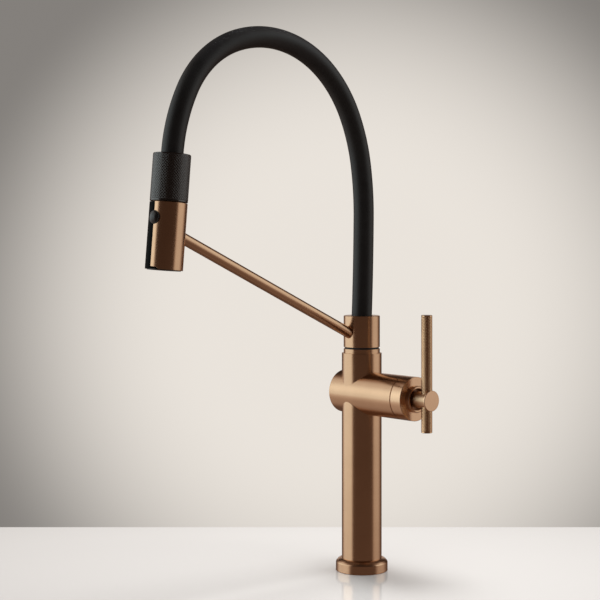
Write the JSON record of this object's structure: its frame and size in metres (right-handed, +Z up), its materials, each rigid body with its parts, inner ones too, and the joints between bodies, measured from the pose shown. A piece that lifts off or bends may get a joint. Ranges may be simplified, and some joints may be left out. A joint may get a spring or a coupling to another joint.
{
  "type": "pull down kitchen faucet",
  "caption": "Single-hole kitchen mixer: round column, cross valve body with joystick T-bar lever, swivelling collar with sloping docking arm, black arched hose and pull-down spray head.",
  "frame": {"origin": "centre of the column's foot, on the worktop surface that the foot flange sits on", "axes": "+Z up along the column; -Y towards the user, the way the spout points at rest; +X along the cross valve body towards the lever"},
  "size_m": [0.1252, 0.2844, 0.5978],
  "materials": {
    "bronze": "brushed copper-bronze coating on brass",
    "raw_brass": "machined brass",
    "steel": "plain stainless steel",
    "hose_black": "matte black silicone",
    "seal_rubber": "black EPDM",
    "grip_black": "fine diamond knurl, satin black",
    "black_plastic": "satin to gloss black plastic",
    "white_plastic": "natural acetal",
    "blue_plastic": "moulded plastic",
    "ceramic": "lapped alumina ceramic"
  },
  "bodies": {
    "base": {"base_flange": "bronze", "deck_gasket": "seal_rubber", "column_tube": "bronze", "column_plug": "raw_brass", "mounting_shank": "raw_brass", "rubber_washer": "seal_rubber", "clamp_washer": "steel", "lock_nut": "raw_brass", "valve_body": "bronze", "swivel_spigot": "raw_brass", "spigot_o_rings": "seal_rubber", "swivel_washer": "black_plastic", "cartridge_seal": "seal_rubber", "cartridge_housing": "white_plastic", "ceramic_fixed_disc": "ceramic", "cartridge_nut": "raw_brass", "cap_ring": "bronze"},
    "stem_carrier": {"cartridge_carrier": "white_plastic", "pivot_pin": "steel"},
    "moving_disc": {"ceramic_moving_disc": "ceramic", "disc_driver": "white_plastic"},
    "lever": {"lever_stem": "raw_brass", "lever_hub": "bronze", "lever_bar": "bronze", "handle_screw": "steel", "end_disc": "bronze"},
    "swivel": {"swivel_collar": "bronze", "collar_set_screw": "steel", "support_arm": "bronze", "dock_magnet": "steel", "hose_base_ferrule": "raw_brass", "hose_sleeve": "hose_black", "hose_conduit": "steel", "hose_core": "white_plastic"},
    "spray_head": {"hose_head_ferrule": "raw_brass", "grip_sleeve": "grip_black", "check_valve": "blue_plastic", "head_core": "black_plastic", "head_shell": "bronze", "front_strip": "black_plastic", "dock_keeper": "steel", "aerator": "black_plastic", "nozzle_face": "black_plastic", "nozzle_seal": "seal_rubber"},
    "button": {"spray_button": "black_plastic", "diverter_spool": "raw_brass", "button_spring": "steel"}
  },
  "joints": [
    {"name": "spout_swivel", "type": "hinge", "parent": "base", "child": "swivel", "pos_m": [0, 0, 0.2246], "axis": [0, 0, 1], "continuous": true},
    {"name": "lever_temperature", "type": "hinge", "parent": "base", "child": "stem_carrier", "pos_m": [0.073, 0, 0.1784], "axis": [1, 0, 0], "range_deg": [-45, 45]},
    {"name": "lever_flow", "type": "hinge", "parent": "stem_carrier", "child": "lever", "pos_m": [0.073, 0, 0.1784], "axis": [0, 1, 0], "range_deg": [0, 15]},
    {"name": "disc_slide", "type": "slide", "parent": "stem_carrier", "child": "moving_disc", "axis": [0, 0, 1], "range_m": [0, 0.004]},
    {"name": "head_pull", "type": "hinge", "parent": "swivel", "child": "spray_head", "pos_m": [0, -0.125, 0.5257], "axis": [-1, 0, 0], "range_deg": [0, 25], "stiffness_Nm_per_rad": 0.35, "deforming": ["hose_sleeve", "hose_conduit", "hose_core"]},
    {"name": "button_press", "type": "slide", "parent": "spray_head", "child": "button", "axis": [-0.1908, 0.9779, -0.0856], "range_m": [0, 0.0015], "stiffness_N_per_m": 400, "springref_m": -0.002, "deforming": ["button_spring"]}
  ],
  "couplings": [
    {"joint": "disc_slide", "follows": "lever_flow", "m_per_rad": 0.0148}
  ]
}
